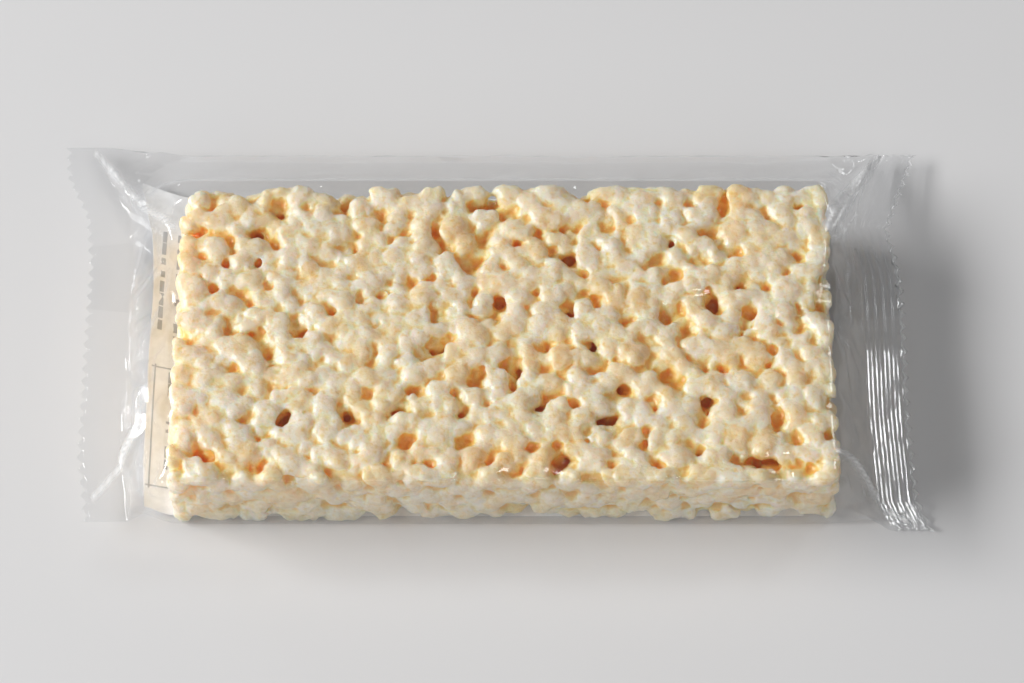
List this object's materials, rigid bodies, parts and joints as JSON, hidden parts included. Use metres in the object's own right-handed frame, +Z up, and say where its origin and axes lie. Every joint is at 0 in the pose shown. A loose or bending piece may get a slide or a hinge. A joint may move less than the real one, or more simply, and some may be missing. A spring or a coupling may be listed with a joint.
{
  "type": "wrapped puffed rice marshmallow bar",
  "caption": "Flat rectangular bar of puffed rice bound with marshmallow, sealed in a clear film flow wrap with crimped saw-cut ends.",
  "frame": {"origin": "middle of the pack's footprint, on the surface it lies on", "axes": "+X along the bar's long side towards the right-hand end seal, +Y towards the slack side of the wrap, +Z up"},
  "size_m": [0.129, 0.064, 0.0145],
  "materials": {
    "crisped_rice": "pale cream puffed rice under a thin glossy marshmallow glaze, orange-brown in the pits",
    "clear_film": "clear, glossy, slightly hazy wrapping film"
  },
  "bodies": {
    "root": {"crispy_bar": "crisped_rice", "clear_wrap": "clear_film"}
  },
  "joints": []
}
